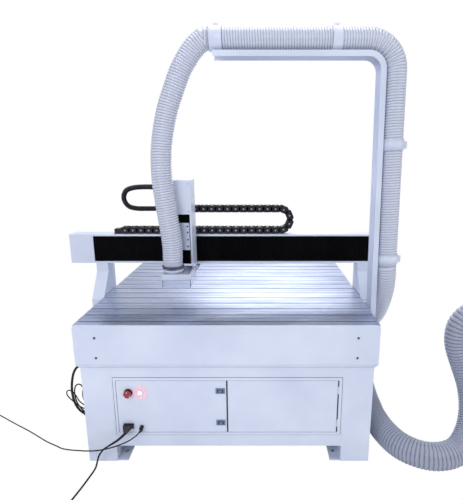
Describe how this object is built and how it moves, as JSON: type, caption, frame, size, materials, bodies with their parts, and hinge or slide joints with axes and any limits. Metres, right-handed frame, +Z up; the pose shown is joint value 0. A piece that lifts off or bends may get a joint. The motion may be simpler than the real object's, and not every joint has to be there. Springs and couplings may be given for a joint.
{
  "type": "cnc router",
  "caption": "Floor-standing gantry CNC router: cabinet base with a slotted table, moving gantry with bellows, router spindle, dust shoe and an extraction hose on an over-arm.",
  "frame": {"origin": "middle of the machine's footprint, on the floor", "axes": "+Z up, +Y from the front with its controls to the back, +X to the right seen from the front"},
  "size_m": [3.087, 1.9515, 2.1861],
  "materials": {
    "paint": "satin white powder coat",
    "black": "matte black",
    "motor": "satin black",
    "rubber": "matte black flexible",
    "steel": "ground steel",
    "aluminium": "anodised extrusion",
    "clear": "milky clear flexible PVC",
    "grey": "satin grey",
    "red": "semi-gloss red",
    "lamp": "gloss white"
  },
  "bodies": {
    "base": {"pedestal_left": "paint", "pedestal_right": "paint", "front_frame": "paint", "door_frame": "paint", "control_panel": "paint", "e_stop_collar": "black", "mains_inlet": "black", "cabinet_shell": "paint", "control_unit": "grey", "bed_frame": "paint", "table": "aluminium", "front_cover": "paint", "rear_cover": "paint", "y_motor_left": "motor", "y_motor_right": "motor", "hose_reducer": "paint", "hose_duct": "grey", "duct_fitting": "grey", "power_cord": "rubber", "power_coil": "rubber", "power_connector": "black", "mains_plug": "black", "data_cable": "rubber", "data_coil": "rubber", "data_connector": "black", "data_plug": "black", "side_cable": "rubber"},
    "door": {"right_door": "paint"},
    "stop_button": {"e_stop_head": "red"},
    "start_button": {"power_button": "lamp"},
    "latch_lower": {"latch_thumb_lower": "grey"},
    "latch_upper": {"latch_thumb_upper": "grey"},
    "screw_left": {"y_screw_left": "steel"},
    "screw_right": {"y_screw_right": "steel"},
    "gantry": {"upright_left": "paint", "upright_right": "paint", "gantry_beam": "paint", "motor_end_box": "paint", "x_motor": "motor", "x_bellows_left": "rubber", "x_bellows_right": "rubber", "boom_channel": "paint", "hose_boom": "clear", "chain_lower": "black", "hose_drop": "clear", "hose_lower": "clear"},
    "screw_x": {"x_screw": "steel"},
    "carriage": {"chain_upper": "black", "x_saddle": "steel", "carriage_frame": "paint", "column_cover": "paint", "z_motor": "motor", "z_bellows_lower": "rubber", "z_bellows_upper": "rubber", "dust_shoe": "clear", "carriage_conduit": "black"},
    "screw_z": {"z_screw": "steel"},
    "z_slide": {"z_carrier": "aluminium", "spindle_body": "steel"},
    "spindle": {"spindle_shaft": "steel"}
  },
  "joints": [
    {"name": "gantry_y", "type": "slide", "parent": "base", "child": "gantry", "axis": [0, 1, 0], "range_m": [-0.43, 0.77], "deforming": ["hose_lower"]},
    {"name": "carriage_x", "type": "slide", "parent": "gantry", "child": "carriage", "axis": [1, 0, 0], "range_m": [-0.311, 0.889], "deforming": ["x_bellows_left", "x_bellows_right", "chain_lower", "chain_upper", "hose_drop"]},
    {"name": "spindle_z", "type": "slide", "parent": "carriage", "child": "z_slide", "axis": [0, 0, 1], "range_m": [-0.07, 0.034], "deforming": ["z_bellows_lower", "z_bellows_upper"]},
    {"name": "spindle_spin", "type": "hinge", "parent": "z_slide", "child": "spindle", "pos_m": [-0.289, -0.266, 0.965], "axis": [0, 0, 1], "continuous": true},
    {"name": "x_screw_spin", "type": "hinge", "parent": "gantry", "child": "screw_x", "pos_m": [0, -0.112, 1.023], "axis": [1, 0, 0], "continuous": true},
    {"name": "y_screw_left_spin", "type": "hinge", "parent": "base", "child": "screw_left", "pos_m": [-0.69, 0, 0.6], "axis": [0, 1, 0], "continuous": true},
    {"name": "y_screw_right_spin", "type": "hinge", "parent": "base", "child": "screw_right", "pos_m": [0.69, 0, 0.6], "axis": [0, 1, 0], "continuous": true},
    {"name": "z_screw_spin", "type": "hinge", "parent": "carriage", "child": "screw_z", "pos_m": [-0.289, -0.1965, 1], "axis": [0, 0, 1], "continuous": true},
    {"name": "door_hinge", "type": "hinge", "parent": "base", "child": "door", "pos_m": [0.5587, -0.7336, 0.3175], "axis": [0, 0, 1], "range_deg": [0, 110]},
    {"name": "e_stop_press", "type": "slide", "parent": "base", "child": "stop_button", "axis": [0, 1, 0], "range_m": [0, 0.005], "stiffness_N_per_m": 600},
    {"name": "power_press", "type": "slide", "parent": "base", "child": "start_button", "axis": [0, 1, 0], "range_m": [0, 0.003], "stiffness_N_per_m": 400},
    {"name": "latch_lower_slide", "type": "slide", "parent": "base", "child": "latch_lower", "axis": [-1, 0, 0], "range_m": [0, 0.008], "stiffness_N_per_m": 400},
    {"name": "latch_upper_slide", "type": "slide", "parent": "base", "child": "latch_upper", "axis": [-1, 0, 0], "range_m": [0, 0.008], "stiffness_N_per_m": 400}
  ],
  "couplings": [
    {"joint": "x_screw_spin", "follows": "carriage_x", "rad_per_m": 628.32},
    {"joint": "y_screw_left_spin", "follows": "gantry_y", "rad_per_m": 628.32},
    {"joint": "y_screw_right_spin", "follows": "gantry_y", "rad_per_m": 628.32},
    {"joint": "z_screw_spin", "follows": "spindle_z", "rad_per_m": 628.32}
  ]
}
